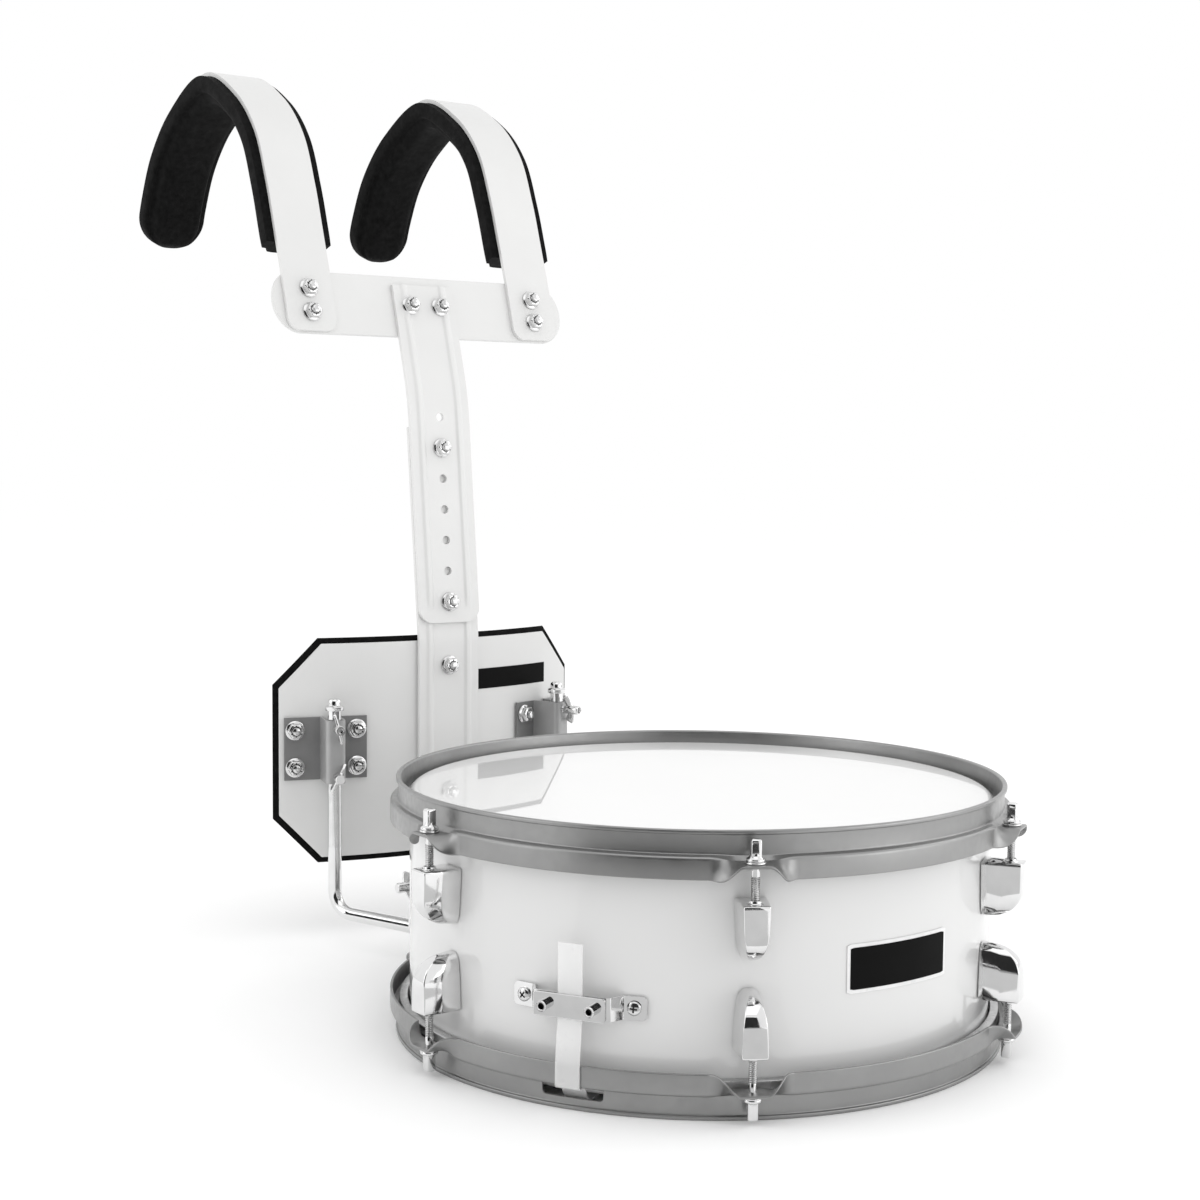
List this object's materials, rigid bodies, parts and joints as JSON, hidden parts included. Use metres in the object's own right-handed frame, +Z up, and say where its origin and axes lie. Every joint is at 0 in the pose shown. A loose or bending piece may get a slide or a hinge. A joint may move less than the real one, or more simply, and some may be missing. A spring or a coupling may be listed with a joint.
{
  "type": "marching snare drum",
  "caption": "Marching snare drum with a white shell, grey hoops and chrome lugs, hung by two bent rods on a white shoulder carrier with a belly plate and padded shoulder straps.",
  "frame": {"origin": "on the floor under the middle of the bounding box; the drum stands on the lip of its snare-side hoop", "axes": "+Z up along the drum's axis, -Y the front with the badge, +Y the player's side with the carrier, +X to the right seen from the front"},
  "size_m": [0.4002, 0.7588, 0.6269],
  "materials": {
    "lacquer": "white high-gloss lacquered wood shell",
    "film": "smooth white polyester film with an aluminium flesh hoop",
    "hoop": "satin grey rolled and pressed sheet",
    "chrome": "polished chrome plating",
    "cast": "cast light alloy, chrome plated",
    "steel": "plain steel snare wire and end plates",
    "strap": "thin white plastic strap",
    "badge": "black anodised plate with a pale border",
    "bracket": "smooth grey plated pressed steel",
    "powder": "white powder-coated light alloy sheet",
    "foam": "black moulded foam with a fine matte skin"
  },
  "bodies": {
    "drum": {"shell": "lacquer", "batter_head": "film", "snare_head": "film", "batter_hoop": "hoop", "snare_hoop": "hoop", "badge": "badge", "batter_lug_1": "cast", "batter_lug_2": "cast", "batter_lug_3": "cast", "batter_lug_4": "cast", "batter_lug_5": "cast", "batter_lug_6": "cast", "snare_lug_1": "cast", "snare_lug_2": "cast", "snare_lug_3": "cast", "snare_lug_4": "cast", "snare_lug_5": "cast", "snare_lug_6": "cast", "snare_wires": "steel", "butt_strap": "strap", "throw_off_strap": "strap", "butt_bracket": "chrome", "butt_clamp_bar": "chrome", "throw_off_base": "cast", "left_rod_socket": "cast", "right_rod_socket": "cast"},
    "batter_rod_1": {"batter_rod_1": "chrome"},
    "batter_rod_2": {"batter_rod_2": "chrome"},
    "batter_rod_3": {"batter_rod_3": "chrome"},
    "batter_rod_4": {"batter_rod_4": "chrome"},
    "batter_rod_5": {"batter_rod_5": "chrome"},
    "batter_rod_6": {"batter_rod_6": "chrome"},
    "snare_rod_1": {"snare_rod_1": "chrome"},
    "snare_rod_2": {"snare_rod_2": "chrome"},
    "snare_rod_3": {"snare_rod_3": "chrome"},
    "snare_rod_4": {"snare_rod_4": "chrome"},
    "snare_rod_5": {"snare_rod_5": "chrome"},
    "snare_rod_6": {"snare_rod_6": "chrome"},
    "throw_off_slide": {"throw_off_slide": "cast"},
    "throw_off_lever": {"throw_off_lever": "cast"},
    "throw_off_knob": {"throw_off_knob": "chrome"},
    "left_socket_wing_screw": {"left_socket_wing_screw": "chrome"},
    "right_socket_wing_screw": {"right_socket_wing_screw": "chrome"},
    "hangers": {"left_hanger_rod": "chrome", "right_hanger_rod": "chrome"},
    "carrier": {"belly_plate": "powder", "belly_pad": "foam", "lower_mast": "powder", "left_rod_bracket": "bracket", "right_rod_bracket": "bracket"},
    "left_upper_wing_screw": {"left_upper_wing_screw": "chrome"},
    "left_lower_wing_screw": {"left_lower_wing_screw": "chrome"},
    "right_upper_wing_screw": {"right_upper_wing_screw": "chrome"},
    "right_lower_wing_screw": {"right_lower_wing_screw": "chrome"},
    "upper_mast": {"upper_mast": "powder", "crossbar": "powder", "left_shoulder_strap": "powder", "right_shoulder_strap": "powder", "left_shoulder_pad": "foam", "right_shoulder_pad": "foam"}
  },
  "joints": [
    {"name": "batter_rod_1_turn", "type": "hinge", "parent": "drum", "child": "batter_rod_1", "pos_m": [-0.0961, -0.02462, 0.1431], "axis": [0, 0, 1], "continuous": true},
    {"name": "batter_rod_2_turn", "type": "hinge", "parent": "drum", "child": "batter_rod_2", "pos_m": [-0.1922, -0.19107, 0.1431], "axis": [0, 0, 1], "continuous": true},
    {"name": "batter_rod_3_turn", "type": "hinge", "parent": "drum", "child": "batter_rod_3", "pos_m": [-0.0961, -0.35752, 0.1431], "axis": [0, 0, 1], "continuous": true},
    {"name": "batter_rod_4_turn", "type": "hinge", "parent": "drum", "child": "batter_rod_4", "pos_m": [0.0961, -0.35752, 0.1431], "axis": [0, 0, 1], "continuous": true},
    {"name": "batter_rod_5_turn", "type": "hinge", "parent": "drum", "child": "batter_rod_5", "pos_m": [0.1922, -0.19107, 0.1431], "axis": [0, 0, 1], "continuous": true},
    {"name": "batter_rod_6_turn", "type": "hinge", "parent": "drum", "child": "batter_rod_6", "pos_m": [0.0961, -0.02462, 0.1431], "axis": [0, 0, 1], "continuous": true},
    {"name": "snare_rod_1_turn", "type": "hinge", "parent": "drum", "child": "snare_rod_1", "pos_m": [-0.0961, -0.02462, 0.0119], "axis": [0, 0, 1], "continuous": true},
    {"name": "snare_rod_2_turn", "type": "hinge", "parent": "drum", "child": "snare_rod_2", "pos_m": [-0.1922, -0.19107, 0.0119], "axis": [0, 0, 1], "continuous": true},
    {"name": "snare_rod_3_turn", "type": "hinge", "parent": "drum", "child": "snare_rod_3", "pos_m": [-0.0961, -0.35752, 0.0119], "axis": [0, 0, 1], "continuous": true},
    {"name": "snare_rod_4_turn", "type": "hinge", "parent": "drum", "child": "snare_rod_4", "pos_m": [0.0961, -0.35752, 0.0119], "axis": [0, 0, 1], "continuous": true},
    {"name": "snare_rod_5_turn", "type": "hinge", "parent": "drum", "child": "snare_rod_5", "pos_m": [0.1922, -0.19107, 0.0119], "axis": [0, 0, 1], "continuous": true},
    {"name": "snare_rod_6_turn", "type": "hinge", "parent": "drum", "child": "snare_rod_6", "pos_m": [0.0961, -0.02462, 0.0119], "axis": [0, 0, 1], "continuous": true},
    {"name": "throw_off_lever_swing", "type": "hinge", "parent": "drum", "child": "throw_off_lever", "pos_m": [0.16151, -0.09782, 0.082], "axis": [0.5, -0.866, 0], "range_deg": [0, 95]},
    {"name": "throw_off_slide_drop", "type": "slide", "parent": "drum", "child": "throw_off_slide", "axis": [0, 0, 1], "range_m": [-0.005, 0]},
    {"name": "throw_off_knob_turn", "type": "hinge", "parent": "drum", "child": "throw_off_knob", "pos_m": [0.16151, -0.09782, 0.096], "axis": [0, 0, 1], "continuous": true},
    {"name": "left_socket_wing_screw_turn", "type": "hinge", "parent": "drum", "child": "left_socket_wing_screw", "pos_m": [-0.075, 0.01293, 0.057], "axis": [-1, 0, 0], "continuous": true},
    {"name": "right_socket_wing_screw_turn", "type": "hinge", "parent": "drum", "child": "right_socket_wing_screw", "pos_m": [0.075, 0.01293, 0.057], "axis": [1, 0, 0], "continuous": true},
    {"name": "hanger_height", "type": "slide", "parent": "drum", "child": "hangers", "axis": [0, 0, 1], "range_m": [-0.018, 0]},
    {"name": "carrier_height", "type": "slide", "parent": "hangers", "child": "carrier", "axis": [0, 0, 1], "range_m": [-0.045, 0.005]},
    {"name": "left_upper_wing_screw_turn", "type": "hinge", "parent": "carrier", "child": "left_upper_wing_screw", "pos_m": [-0.09895, 0.0846, 0.1557], "axis": [-0.2968, -0.9549, 0], "continuous": true},
    {"name": "left_lower_wing_screw_turn", "type": "hinge", "parent": "carrier", "child": "left_lower_wing_screw", "pos_m": [-0.09895, 0.0846, 0.1217], "axis": [-0.2968, -0.9549, 0], "continuous": true},
    {"name": "right_upper_wing_screw_turn", "type": "hinge", "parent": "carrier", "child": "right_upper_wing_screw", "pos_m": [0.09895, 0.0846, 0.1557], "axis": [0.2968, -0.9549, 0], "continuous": true},
    {"name": "right_lower_wing_screw_turn", "type": "hinge", "parent": "carrier", "child": "right_lower_wing_screw", "pos_m": [0.09895, 0.0846, 0.1217], "axis": [0.2968, -0.9549, 0], "continuous": true},
    {"name": "mast_height", "type": "slide", "parent": "carrier", "child": "upper_mast", "axis": [0, 0.1045, 0.9945], "range_m": [-0.005, 0]}
  ],
  "couplings": [
    {"joint": "throw_off_slide_drop", "follows": "throw_off_lever_swing", "m_per_rad": -0.003}
  ]
}
